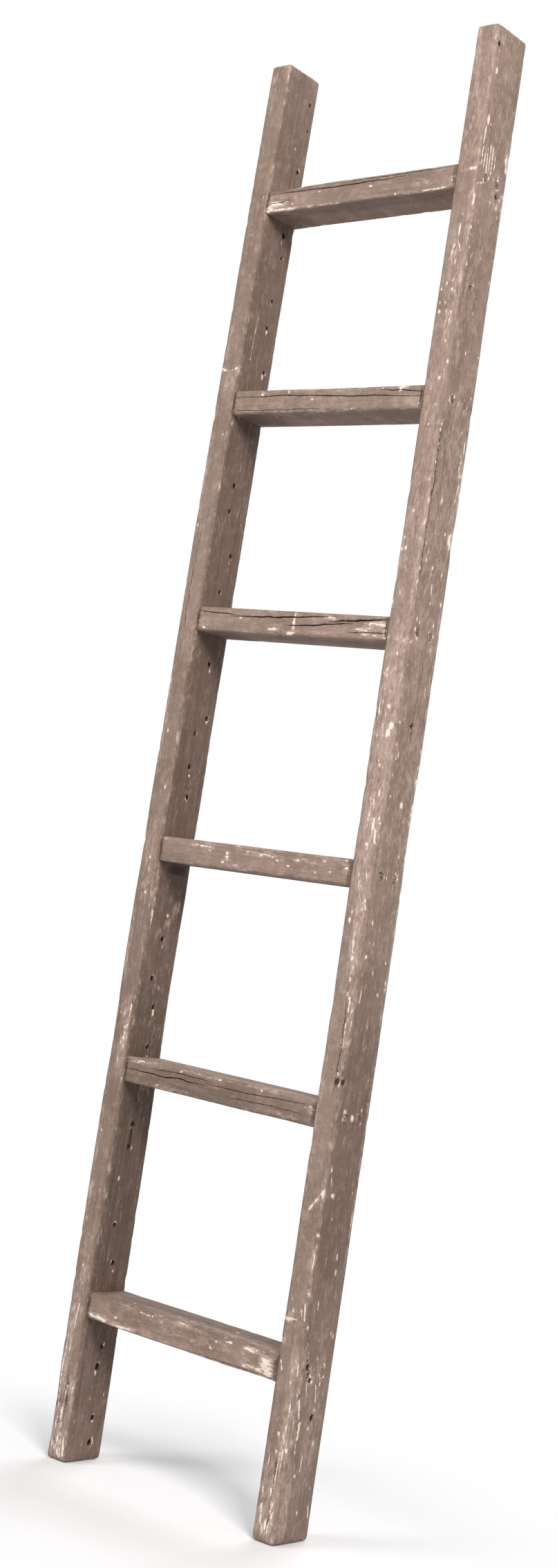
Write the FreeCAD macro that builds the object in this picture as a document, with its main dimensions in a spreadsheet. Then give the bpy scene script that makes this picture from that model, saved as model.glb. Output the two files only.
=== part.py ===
"""Blanket ladder made from old boards.

Two plain rails stand side by side, and six rungs of the same board are butted between them, flush
front and back. Each end of a rung is held by two nails with round heads and square shanks, driven
through the rail into the rung's end grain and set just below the surface. Nobody measured this
ladder twice: some rungs slipped from their even row, and most fall a little to the right.

Frame: millimetres, +Z up along the rails, +X to the right, -Y towards the front. The origin lies on
the floor, midway between the feet and midway through the boards' depth.
"""
import FreeCAD, Part
import os
import Sketcher

# Driving sizes: name, value in millimetres, what it is.
SIZES = (
    ("rail_length", 1829, "floor to the top of the rails"),
    ("clear_width", 305, "gap between the rails, which is each rung's length"),
    ("board_depth", 64, "front to back, the same for rails and rungs"),
    ("rail_thickness", 32, "side to side"),
    ("rung_thickness", 32, "top to bottom"),
    ("rail_edge_radius", 3, "wear on the long edges of a rail"),
    ("rail_end_bevel", 2, "wear around the foot and the top of a rail"),
    ("rung_edge_radius", 2.5, "wear on the long edges of a rung"),
    ("foot_reach", 190, "floor to the middle of rung 1"),
    ("top_reach", 197, "middle of rung 6 to the top of the rails"),
    ("slip_two", 2.6, "how far rung 2 lies above its place in an even row of rungs"),
    ("slip_three", -3.8, "the same for rung 3"),
    ("slip_four", 5.8, "rung 4"),
    ("slip_five", 7.4, "rung 5"),
    ("drop_one", 1, "how far the right end of rung 1 lies below its left end"),
    ("drop_two", 4, "the same for rung 2"),
    ("drop_three", 1, "rung 3"),
    ("drop_four", 8, "rung 4"),
    ("drop_five", 8, "rung 5"),
    ("drop_six", 1, "rung 6"),
    ("nail_spacing", 26, "between the two nails in one end of a rung"),
    ("nail_length", 75, "underside of the head to the point"),
    ("shank_width", 3.6, "nail, across the flats of its square shank"),
    ("point_length", 12, "tapered end of a nail"),
    ("point_width", 1.4, "blunt tip of a nail"),
    ("head_diameter", 7.5, "nail"),
    ("head_thickness", 1.2, "nail"),
    ("set_depth", 0.8, "how far a nail's head lies below the rail's face"),
    ("shank_clearance", 0.1, "between a nail's shank and its hole, on each side"),
    ("head_clearance", 0.2, "between a nail's head and its recess, on the radius"),
    ("point_clearance", 2, "between a nail's point and the bottom of its hole"),
)
SLIPS = {2: "slip_two", 3: "slip_three", 4: "slip_four", 5: "slip_five"}
DROPS = ("drop_one", "drop_two", "drop_three", "drop_four", "drop_five", "drop_six")
RUNG_COUNT = len(DROPS)
HALF_TURN = 180
FLAT = 1                   # an edge that rises less than this lies across a rail's end
COLUMNS = (("front", -1), ("back", 1))     # the two nails in one end of a rung

LEFT, RIGHT = "left", "right"
START, END = 1, 2          # the two end points of a sketch line
CENTRE = 3                 # the centre point of a sketch circle
ORIGIN = (-1, 1)           # the sketch's own origin point
ALONG, UPRIGHT = -1, -2    # the sketch's horizontal and vertical axes

doc = FreeCAD.newDocument("blanket_ladder")


def size(name):
    """The expression that reads one size from the sheet."""
    return f"<<Sizes>>.{name}"


HEAD_ROOM = f"{size('head_diameter')} / 2 + {size('head_clearance')}"        # a recess's radius
SHANK_ROOM = f"{size('shank_width')} + 2 * {size('shank_clearance')}"        # across a hole
SEAT = f"{size('set_depth')} + {size('head_thickness')}"      # rail's face to a head's underside


def fill_sheet():
    sheet = doc.addObject("Spreadsheet::Sheet", "Sizes")
    sheet.Label = "Sizes"
    for row, (name, value, meaning) in enumerate(SIZES, start=1):
        sheet.set(f"A{row}", meaning)
        sheet.set(f"B{row}", str(value))
        sheet.setAlias(f"B{row}", name)
    doc.recompute()


def rung_height(number):
    """Height of the middle of a rung: an even row from rung 1 to the last, less even in between."""
    row = f"({size('rail_length')} - {size('foot_reach')} - {size('top_reach')})"
    height = f"{size('foot_reach')} + {number - 1} * {row} / {RUNG_COUNT - 1}"
    return f"{height} + {size(SLIPS[number])}" if number in SLIPS else height


def joint_height(number, side):
    """Height of the middle of one end of a rung, where its nails go in."""
    sign = "+" if side == LEFT else "-"
    return f"{rung_height(number)} {sign} {size(DROPS[number - 1])} / 2"


def new_body(name):
    body = doc.addObject("PartDesign::Body", name)
    body.Label = name
    return body


def origin_plane(body, role):
    return next(item for item in body.Origin.OriginFeatures if item.Role == role)


def new_sketch(body, name, role, offset=None):
    """A sketch on one of the body's origin planes, moved along its normal by an expression."""
    sketch = body.newObject("Sketcher::SketchObject", name)
    sketch.AttachmentSupport = [(origin_plane(body, role), "")]
    sketch.MapMode = "FlatFace"
    if offset:
        sketch.setExpression("AttachmentOffset.Base.z", offset)
    return sketch


def add_outline(sketch, points):
    """Closed outline of straight lines; returns the index of each line."""
    vectors = [FreeCAD.Vector(x, y, 0) for x, y in points]
    lines = [
        sketch.addGeometry(Part.LineSegment(here, there), False)
        for here, there in zip(vectors, vectors[1:] + vectors[:1])
    ]
    for line, following in zip(lines, lines[1:] + lines[:1]):
        sketch.addConstraint(Sketcher.Constraint("Coincident", line, END, following, START))
    return lines


def amount(expression):
    """What an expression comes to now, in millimetres; outlines are drawn with it."""
    value = doc.getObject("Sizes").evalExpression(expression)
    return getattr(value, "Value", value)


def drive(sketch, kind, where, name, expression):
    """A dimension with a name of its own, bound to the sheet."""
    index = sketch.addConstraint(Sketcher.Constraint(kind, *where, amount(expression)))
    sketch.renameConstraint(index, name)
    sketch.setExpression(f"Constraints.{name}", expression)


def straighten(sketch, along=(), upright=()):
    for line in along:
        sketch.addConstraint(Sketcher.Constraint("Horizontal", line))
    for line in upright:
        sketch.addConstraint(Sketcher.Constraint("Vertical", line))


def round_edges(body, base, edges, radius, name):
    fillet = body.newObject("PartDesign::Fillet", name)
    fillet.Base = (base, edges)
    fillet.setExpression("Radius", radius)
    doc.recompute()
    return fillet


def direction(edge):
    return edge.tangentAt(edge.FirstParameter)


def edge_names(shape, wanted):
    return [f"Edge{i}" for i, edge in enumerate(shape.Edges, start=1) if wanted(edge)]


def aside():
    """How far each nail of a pair lies from the middle of the board."""
    return f"{size('nail_spacing')} / 2"


def put_spot(sketch, spot, sign, height, tag):
    """Holds a point half the nails' spacing in front of or behind the middle, at a height."""
    ends = (*spot, *ORIGIN) if sign < 0 else (*ORIGIN, *spot)
    drive(sketch, "DistanceX", ends, f"{tag}_aside", aside())
    drive(sketch, "DistanceY", (*ORIGIN, *spot), f"{tag}_height", height)


def add_disc(sketch, sign, height, tag, radius):
    """A circle for one nail of a pair, in front (-1) or behind (1)."""
    start = FreeCAD.Vector(sign * amount(aside()), amount(height), 0)
    ring = Part.Circle(start, FreeCAD.Vector(0, 0, 1), amount(radius))
    circle = sketch.addGeometry(ring, False)
    put_spot(sketch, (circle, CENTRE), sign, height, tag)
    drive(sketch, "Radius", (circle,), f"{tag}_radius", radius)


def add_square(sketch, sign, height, tag, width):
    """A square for one nail of a pair, in front (-1) or behind (1)."""
    y, z, half = sign * amount(aside()), amount(height), amount(width) / 2
    corners = [(y - half, z - half), (y + half, z - half), (y + half, z + half), (y - half, z + half)]
    bottom, back, top, front = add_outline(sketch, corners)
    straighten(sketch, along=(bottom, top), upright=(back, front))
    middle = sketch.addGeometry(Part.Point(FreeCAD.Vector(y, z, 0)), True)
    across = (bottom, START, top, START, middle, START)
    sketch.addConstraint(Sketcher.Constraint("Symmetric", *across))
    put_spot(sketch, (middle, START), sign, height, tag)
    drive(sketch, "DistanceX", (bottom, START, bottom, END), f"{tag}_depth", width)
    drive(sketch, "DistanceY", (back, START, back, END), f"{tag}_rise", width)


def add_pairs(sketch, add_one, heights, room):
    """One outline for each nail of the pairs at the given heights."""
    for row, height in enumerate(heights, start=1):
        for column, sign in COLUMNS:
            add_one(sketch, sign, height, f"{column}_{row}", room)


def cut(body, sketch, name, reverse, depth=None):
    """Takes the sketch's outlines out of the body, which has to lose volume by it."""
    before = body.Shape.Volume
    pocket = body.newObject("PartDesign::Pocket", name)
    pocket.Profile = sketch
    pocket.Reversed = reverse
    if depth:
        pocket.Type = "Length"
        pocket.setExpression("Length", depth)
    else:
        pocket.Type = "ThroughAll"
    sketch.Visibility = False
    doc.recompute()
    if pocket.Shape.isNull() or pocket.Shape.Volume >= before:
        raise RuntimeError(f"{body.Label}: {name} cut nothing")
    body.Tip = pocket


def stand(body, x=None, z=None, turned=False):
    """Puts a body in its place; a right-hand piece is the left-hand one turned about +Z."""
    if turned:
        body.Placement.Rotation = FreeCAD.Rotation(FreeCAD.Vector(0, 0, 1), HALF_TURN)
    for axis, expression in (("x", x), ("z", z)):
        if expression:
            body.setExpression(f"Placement.Base.{axis}", expression)


def outer_face(side):
    """Where the outer face of a rail lies across the ladder."""
    reach = f"({size('clear_width')} / 2 + {size('rail_thickness')})"
    return f"-1 * {reach}" if side == LEFT else reach


def make_rail(side):
    """A rail, drawn with its outer face on the body's YZ plane and its thickness towards +X."""
    body = new_body(f"{side}_rail")
    section = new_sketch(body, f"{side}_rail_section", "XY_Plane")
    across, half = amount(size("rail_thickness")), amount(size("board_depth")) / 2
    corners = [(0, -half), (across, -half), (across, half), (0, half)]
    front, inner, back, outer = add_outline(section, corners)
    straighten(section, along=(front, back), upright=(inner, outer))
    section.addConstraint(Sketcher.Constraint("Symmetric", outer, START, outer, END, *ORIGIN))
    drive(section, "DistanceX", (front, START, front, END), "across", size("rail_thickness"))
    drive(section, "DistanceY", (inner, START, inner, END), "depth", size("board_depth"))
    length = body.newObject("PartDesign::Pad", f"{side}_rail_length")
    length.Profile = section
    length.setExpression("Length", size("rail_length"))
    doc.recompute()
    long_edges = edge_names(length.Shape, lambda edge: abs(direction(edge).z) > 0.5)
    worn = round_edges(body, length, long_edges, size("rail_edge_radius"), f"{side}_rail_wear")
    ends = edge_names(worn.Shape, lambda edge: edge.BoundBox.ZLength < FLAT)
    bevel = body.newObject("PartDesign::Chamfer", f"{side}_rail_ends")
    bevel.Base = (worn, ends)
    bevel.setExpression("Size", size("rail_end_bevel"))
    doc.recompute()
    heights = [joint_height(number, side) for number in range(1, RUNG_COUNT + 1)]
    heads = new_sketch(body, f"{side}_rail_head_spots", "YZ_Plane")
    add_pairs(heads, add_disc, heights, HEAD_ROOM)
    cut(body, heads, f"{side}_rail_recesses", reverse=True, depth=SEAT)
    shanks = new_sketch(body, f"{side}_rail_shank_spots", "YZ_Plane")
    add_pairs(shanks, add_square, heights, SHANK_ROOM)
    cut(body, shanks, f"{side}_rail_nail_holes", reverse=True)
    stand(body, x=outer_face(side), turned=side == RIGHT)
    return body


def make_rung(number):
    """A rung, drawn about its own middle; its ends are upright and its long faces slope."""
    body = new_body(f"rung_{number}")
    face = new_sketch(body, f"rung_{number}_face", "XZ_Plane")
    drop = size(DROPS[number - 1])
    reach, half, fall = amount(size("clear_width")) / 2, amount(size("rung_thickness")) / 2, amount(drop) / 2
    corners = [(-reach, fall - half), (reach, -fall - half), (reach, half - fall), (-reach, half + fall)]
    bottom, right_end, top, left_end = add_outline(face, corners)
    straighten(face, upright=(right_end, left_end))
    face.addConstraint(Sketcher.Constraint("Symmetric", bottom, START, top, START, *ORIGIN))
    drive(face, "DistanceX", (bottom, START, bottom, END), "span", size("clear_width"))
    drive(face, "DistanceY", (right_end, START, right_end, END), "right_height", size("rung_thickness"))
    drive(face, "DistanceY", (left_end, END, left_end, START), "left_height", size("rung_thickness"))
    drive(face, "DistanceY", (bottom, END, bottom, START), "drop", drop)
    depth = body.newObject("PartDesign::Pad", f"rung_{number}_depth")
    depth.Profile = face
    depth.Midplane = True
    depth.setExpression("Length", size("board_depth"))
    doc.recompute()
    long_edges = edge_names(depth.Shape, lambda edge: abs(direction(edge).x) > 0.5)
    round_edges(body, depth, long_edges, size("rung_edge_radius"), f"rung_{number}_wear")
    bite = f"{SEAT} + {size('nail_length')} - {size('rail_thickness')} + {size('point_clearance')}"
    for side, sign in ((LEFT, "-"), (RIGHT, "+")):
        end = f"0 {sign} {size('clear_width')} / 2"
        spots = new_sketch(body, f"rung_{number}_{side}_nail_spots", "YZ_Plane", offset=end)
        shift = f"0 {'+' if side == LEFT else '-'} {drop} / 2"
        add_pairs(spots, add_square, [shift], SHANK_ROOM)
        cut(body, spots, f"rung_{number}_{side}_nail_holes", reverse=side == LEFT, depth=bite)
    stand(body, z=rung_height(number))
    return body


def make_nails(number, side):
    """The two nails in one end of a rung: a head and a tapered shank, mirrored front to back."""
    name = f"nails_rung_{number}_{side}"
    body = new_body(name)
    body.AllowCompound = True
    disc = new_sketch(body, f"{name}_head_outline", "YZ_Plane", offset=size("set_depth"))
    add_disc(disc, -1, "0 mm", "head", f"{size('head_diameter')} / 2")
    head = body.newObject("PartDesign::Pad", f"{name}_head")
    head.Profile = disc
    head.setExpression("Length", size("head_thickness"))
    doc.recompute()
    profile = new_sketch(body, f"{name}_profile", "XZ_Plane", offset=aside())
    seat, reach = amount(SEAT), amount(SEAT) + amount(size("nail_length"))
    taper, half = reach - amount(size("point_length")), amount(size("shank_width")) / 2
    blunt = amount(size("point_width")) / 2
    points = [(seat, -half), (taper, -half), (reach, -blunt), (reach, blunt), (taper, half), (seat, half)]
    low, low_taper, tip, high_taper, high, under_head = add_outline(profile, points)
    straighten(profile, along=(low, high))
    for line in (under_head, tip):
        mirror = (line, START, line, END, ALONG)
        profile.addConstraint(Sketcher.Constraint("Symmetric", *mirror))
    profile.addConstraint(Sketcher.Constraint("Equal", low, high))
    drive(profile, "DistanceX", (*ORIGIN, low, START), "seat", SEAT)
    drive(profile, "DistanceX", (low, START, tip, START), "reach", size("nail_length"))
    drive(profile, "DistanceX", (low_taper, START, low_taper, END), "taper", size("point_length"))
    drive(profile, "DistanceY", (low, START, high, END), "width", size("shank_width"))
    drive(profile, "DistanceY", (tip, START, tip, END), "tip_width", size("point_width"))
    shank = body.newObject("PartDesign::Pad", f"{name}_shank")
    shank.Profile = profile
    shank.Midplane = True
    shank.setExpression("Length", size("shank_width"))
    doc.recompute()
    pair = body.newObject("PartDesign::Mirrored", f"{name}_pair")
    pair.Originals = [head, shank]
    pair.MirrorPlane = (origin_plane(body, "XZ_Plane"), [""])
    body.Tip = pair
    stand(body, x=outer_face(side), z=joint_height(number, side), turned=side == RIGHT)
    return body


def check(pieces):
    """Nothing in the document may have failed, and every piece must be sound."""
    for item in doc.Objects:
        if {"Invalid", "Error"} & set(item.State):
            raise RuntimeError(f"{item.Label} failed: {item.State}")
    for piece, solids in pieces:
        shape = piece.Shape
        if shape.isNull() or not shape.isValid():
            raise RuntimeError(f"{piece.Label} has no sound shape")
        if len(shape.Solids) != solids:
            raise RuntimeError(f"{piece.Label} has {len(shape.Solids)} solids, not {solids}")


def main():
    fill_sheet()
    sides = (LEFT, RIGHT)
    numbers = range(1, RUNG_COUNT + 1)
    boards = [make_rail(side) for side in sides] + [make_rung(number) for number in numbers]
    nails = [make_nails(number, side) for number in numbers for side in sides]
    doc.recompute()
    pieces = [(board, 1) for board in boards] + [(pair, 2) for pair in nails]
    check(pieces)
    os.makedirs("parts", exist_ok=True)
    for piece, _ in pieces:
        piece.Shape.exportStep(f"parts/{piece.Label}.step")
        box = piece.Shape.BoundBox
        print(f"{piece.Label}: {piece.Shape.Volume:.0f} mm3, x {box.XMin:.1f}..{box.XMax:.1f},"
              f" y {box.YMin:.1f}..{box.YMax:.1f}, z {box.ZMin:.1f}..{box.ZMax:.1f}")


main()
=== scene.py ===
"""Looks for a blanket ladder of old boards: grey-brown paint rubbed through to pale wood, splits
along the grain, old nail holes, and painted nail heads set into the rails.

Every board is shaped about its own middle in metres. A place on one of its faces is given in
millimetres: u along the board, from the floor on a rail and from the middle on a rung, and t across.
"""
import math
import bmesh
import bpy
from mathutils import Matrix, Vector, kdtree, noise


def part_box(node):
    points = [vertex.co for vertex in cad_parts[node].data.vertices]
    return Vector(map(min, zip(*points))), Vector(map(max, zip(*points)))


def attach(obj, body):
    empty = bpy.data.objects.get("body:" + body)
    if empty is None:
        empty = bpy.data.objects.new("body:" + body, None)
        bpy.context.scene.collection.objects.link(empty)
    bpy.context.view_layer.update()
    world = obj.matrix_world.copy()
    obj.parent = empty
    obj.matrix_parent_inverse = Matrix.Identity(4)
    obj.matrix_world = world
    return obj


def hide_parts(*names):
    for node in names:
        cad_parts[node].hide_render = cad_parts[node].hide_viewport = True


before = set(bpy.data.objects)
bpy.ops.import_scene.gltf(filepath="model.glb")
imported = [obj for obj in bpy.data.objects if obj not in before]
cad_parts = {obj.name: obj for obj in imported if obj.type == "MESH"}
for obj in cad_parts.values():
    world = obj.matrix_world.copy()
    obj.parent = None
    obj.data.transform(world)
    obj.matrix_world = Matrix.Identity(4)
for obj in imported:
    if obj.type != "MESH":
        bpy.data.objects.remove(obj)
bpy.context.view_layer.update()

MM = 0.001
THICKNESS = 32 * MM                # of every board
RAIL_LENGTH = 1.829
RAIL_MIDDLE = 0.1685               # from the ladder's middle to the middle of a rail
BENDS = (-6.0 * MM, -0.7 * MM)     # how far the left and the right rail have bent at half height
HEAD_DIAMETER = 7.5 * MM           # of a nail in the solids
RUNG_NUMBERS = range(1, 7)
SIDES = ("left", "right")
ALONG_RAIL, ALONG_RUNG = 2, 0      # the axis that a board runs along
PATH_STEP = 3.0 * MM


# ---------------------------------------------------------------- boards and their faces

class Board:
    """A straight board about its own middle; `fall` is how far its right end lies lower, and
    `seed` gives it waves, rings and wear of its own."""

    def __init__(self, node, along, seed):
        low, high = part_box(node)
        self.node, self.along, self.across = node, along, 2 - along
        self.middle = (low + high) / 2
        self.size = high - low
        self.fall = self.size[self.across] - THICKNESS if along == ALONG_RUNG else 0.0
        self.size[self.across] = THICKNESS
        self.length = self.size[along]
        self.half = self.size / 2
        self.start = self.middle.z if along == ALONG_RAIL else 0     # from u = 0 to the middle
        self.grain = Vector([1 if axis == along else 0 for axis in range(3)])
        self.seed = Vector((seed * 1.7, seed * 0.9, seed * 1.3))
        inner = 1 if node == "left_rail" else -1
        self.faces = {"front": (1, -1), "back": (1, 1), "top": (2, 1), "bottom": (2, -1),
                      "inner": (0, inner), "outer": (0, -inner)}

    def at(self, face, u, t):
        """The point of a face at u and t."""
        axis, sign = self.faces[face]
        point = Vector()
        point[axis] = sign * self.half[axis]
        point[self.along] = u * MM - self.start
        point[3 - axis - self.along] = t * MM
        return point

    def walk(self, face, path):
        """Points every few mm along a path on a face; the path is u, t, u, t and so on."""
        points = [self.at(face, u, t) for u, t in zip(path[::2], path[1::2])]
        out = []
        for here, there in zip(points, points[1:]):
            count = max(int((there - here).length / PATH_STEP), 1)
            out += [here.lerp(there, index / count) for index in range(count)]
        return out + [points[-1]]

    def corner(self, name):
        """Which way along its own axes a corner such as "front outer" lies."""
        signs = [0, 0, 0]
        for face in name.split():
            axis, sign = self.faces[face]
            signs[axis] = sign
        return signs[self.across], signs[1]

    def outward(self, face):
        axis, sign = self.faces[face]
        return Vector([sign if index == axis else 0 for index in range(3)])

    def place(self, point):
        """From the board's own space to the ladder, with the fall and the crook of the wood."""
        moved = point.copy()
        if self.along == ALONG_RUNG:
            moved.z -= self.fall * point.x / self.length
        moved += self.middle
        return crook(moved)


def crook(point):
    """Bends a point with the rails; the rungs take the left rail's bend over to the right one's."""
    share = point.z / RAIL_LENGTH
    left, right = BENDS
    mix = (point.x + RAIL_MIDDLE) / (2 * RAIL_MIDDLE)
    point.x += (left + (right - left) * mix) * 4 * share * (1 - share)
    return point


def ease(value, low, high):
    """0 below low, 1 above high, smooth between."""
    share = min(max((value - low) / (high - low), 0.0), 1.0)
    return share * share * (3 - 2 * share)


# ---------------------------------------------------------------- marks in the wood and the paint
# Each list is for one face, or one corner, of one board. All is in millimetres but the strengths.
# PITS: u, t, radius, depth
# SPLITS: width, depth, then u and t of each point of the path
# FLECKS: u, t of a small spot of lost paint
# SCRATCHES: half width, strength, then u and t of each point of the path
# SCUFFS and the darkening below: u, t, half length, half width, strength of rubbed paint, or of dirt and
# painted shade
# DIPS: u, half length, depth of a hollow in a corner

PITS = {
    "left_rail inner": [
        (1790, 20, 2.2, 5), (1754, 23.5, 1.7, 4), (1693, 18, 2.4, 5), (1601, 12, 2.9, 6),
        (1570, 15, 1.9, 4), (1508, 10.6, 2.1, 5), (1470, 9, 2.1, 3), (1411, 17.7, 1.9, 4),
        (1249, -3.7, 2.6, 5), (1214, -4.9, 2.2, 5), (1157, 12, 2.4, 5), (1106, 2, 2, 5),
        (1010, 5, 2.6, 5), (940, 16.5, 2.3, 3), (917, -1.5, 2.2, 5), (873, -1.8, 2.5, 5),
        (834, 3.3, 2.5, 5), (649, -0.7, 2.6, 5), (598, -8.4, 2.6, 5), (562, 2.4, 2.4, 4),
        (511, 2.7, 2.5, 5), (414, -1, 2.9, 6), (386, -1.4, 2.9, 6), (288, -6.2, 2.3, 5),
        (241, 1.4, 2.7, 5), (138, 5.4, 2.2, 5), (114, 2.1, 3.1, 5), (52, 7.3, 2.6, 4), (22, 8.5, 3, 5)],
    "left_rail outer": [(1704, -9, 2.2, 4), (1212, 6, 2.4, 5), (906, -14, 2.2, 5), (534, 11, 2.5, 5)],
    "left_rail back": [(1460, 4, 2.2, 4), (668, -5, 2.3, 5)],
    "right_rail outer": [
        (1803, -24, 2.8, 5), (1617, 15, 2.6, 5), (1491, -9, 1.9, 4), (945, 2.5, 2.1, 4),
        (765, -15, 2.3, 5), (197, -15, 2.6, 5), (182, -7, 2.3, 4), (139, 6, 2.8, 4)],
    "right_rail inner": [
        (1480, 6, 2.4, 5), (1188, -12, 2.2, 4), (905, 9, 2.5, 5), (618, -3, 2.4, 5), (330, 12, 2.2, 5)],
    "right_rail back": [(1530, -3, 2.4, 5), (1010, 6, 2.2, 5)],
    "rung_6 bottom": [(-52, -8, 1.8, 4)],
    "rung_5 back": [(-40, 2, 2.2, 4)],
    "rung_5 bottom": [(-84, -14, 2.4, 3)],
    "rung_4 bottom": [(96, -6, 1.9, 4)],
    "rung_4 back": [(30, -4, 2.2, 5)],
    "rung_3 back": [(-90, 3, 2.2, 5)],
    "rung_3 bottom": [(20, 10, 2, 4)],
    "rung_2 back": [(52, -2, 2.2, 5)],
    "rung_1 back": [(-20, 4, 2.2, 5)],
}

SPLITS = {
    "left_rail inner": [
        (4.4, 6, 417, -1, 406, -1.8, 396, -1, 384, -1.6),
        (0.9, 3, 1828, -6, 1790, -7, 1735, -4, 1700, -5)],
    "left_rail front": [
        (1.6, 5, 2, 4, 30, 2, 66, 3, 104, 0), (1.2, 4, 2, -6, 24, -7, 52, -5),
        (0.8, 2.5, 1180, -4, 1100, -7, 1020, -6)],
    "left_rail outer": [
        (1.3, 5, 1, 10, 60, 12, 150, 9, 220, 10), (1, 4, 1310, -4, 1200, -8, 1110, -6, 1050, -9)],
    "left_rail back": [(1.2, 5, 1827, 2, 1740, 0, 1650, 3), (1, 4, 840, -6, 730, -3, 640, -5)],
    "right_rail outer": [
        (2.3, 4, 1320, -25, 1240, -24, 1150, -25, 1080, -24),
        (1.9, 4, 1060, 8, 1011, 7.8, 950, 5, 900, 2, 850, -2), (1.2, 4, 606, 1, 590, -1, 573, -3),
        (1.3, 4, 228, -21, 215, -18, 202, -16), (1.2, 5, 1, -8, 50, -10, 110, -8)],
    "right_rail front": [(1.4, 5, 1, 2, 40, 4, 95, 3), (0.8, 2.5, 640, 5, 560, 8, 500, 6)],
    "right_rail inner": [
        (1.2, 5, 1827, 8, 1760, 6, 1690, 9, 1640, 7), (1.1, 4, 980, -10, 880, -8, 790, -11)],
    "right_rail back": [
        (1.2, 5, 1500, -5, 1400, -2, 1290, -5, 1210, -3), (1.2, 5, 2, 3, 70, 6, 150, 4)],
    "rung_6 front": [
        (1.3, 5, -152, 9.5, -93, 9, -23, 8, 44, 9, 80, 10),
        (0.8, 2.5, -20, 12.5, 30, 12.8, 80, 13.2, 140, 12.6), (1, 3, -150, -3, -128, -4, -112, -2)],
    "rung_6 top": [(1.2, 4, -60, 4, 10, 6, 90, 3)],
    "rung_6 back": [(1.2, 4, -148, -4, -70, -6, 10, -3, 60, -5)],
    "rung_5 front": [
        (1.1, 4, -150, 6, -84, 7.5, -14, 6, 54, 4, 108, 3, 151, 1),
        (1.1, 4, 92, 11, 107, 10, 130, 9.5, 151, 7), (0.6, 2, -150, -11, -80, -12, -10, -11.5)],
    "rung_5 top": [(1.1, 4, -150, -10, -60, -12, 20, -9)],
    "rung_5 back": [(1.2, 4, 150, 2, 70, 4, -10, 1)],
    "rung_4 front": [
        (1, 4, -150, 10.5, -131, 8.5, -89, 7), (1.4, 6, -95, 4.8, -25, 6.4, 36, 9.8, 70, 12.6),
        (1.3, 5, -5, -3.4, 38, -0.8, 76, 3, 98, 4.4), (1.7, 6, 66, 5.2, 84, 7, 126, 9.4, 151, 10.8),
        (0.9, 3, 96, -8, 124, -6, 150, -6.5)],
    "rung_4 bottom": [(1.2, 4, -40, -14, 30, -12, 120, -15)],
    "rung_4 top": [(1.3, 4, -140, 6, -50, 9, 40, 6)],
    "rung_4 back": [(1.4, 5, -150, 5, -80, 2, 0, 4, 70, 1)],
    "rung_3 top": [(1.1, 4, -120, -4, -30, -7, 60, -4)],
    "rung_3 back": [(1.2, 4, 150, -4, 60, -1, -20, -4)],
    "rung_3 bottom": [(1.1, 4, -100, 4, 0, 7, 90, 5)],
    "rung_2 front": [
        (1.1, 4, -151, 0.5, -116, 1.5, -86, 0.2, -61, 2.6, -17, 1.8),
        (0.6, 3, -20, 4.4, 38, 4, 93, 6.4, 135, 7.8), (0.7, 2.5, -110, 7.5, -60, 9, -10, 8),
        (0.5, 2, 20, -5, 80, -3.4, 140, -4)],
    "rung_2 top": [(1.2, 4, -140, -14, -50, -11, 50, -13, 130, -10)],
    "rung_2 back": [(1.2, 4, -120, 3, -30, 6, 60, 3)],
    "rung_1 front": [(0.6, 2, 30, -13.4, 80, -13, 120, -13.8)],
    "rung_1 top": [(1.2, 4, -100, 2, 0, 5, 110, 2)],
    "rung_1 back": [(1.2, 4, 150, 3, 70, 0, -10, 3)],
}

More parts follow.
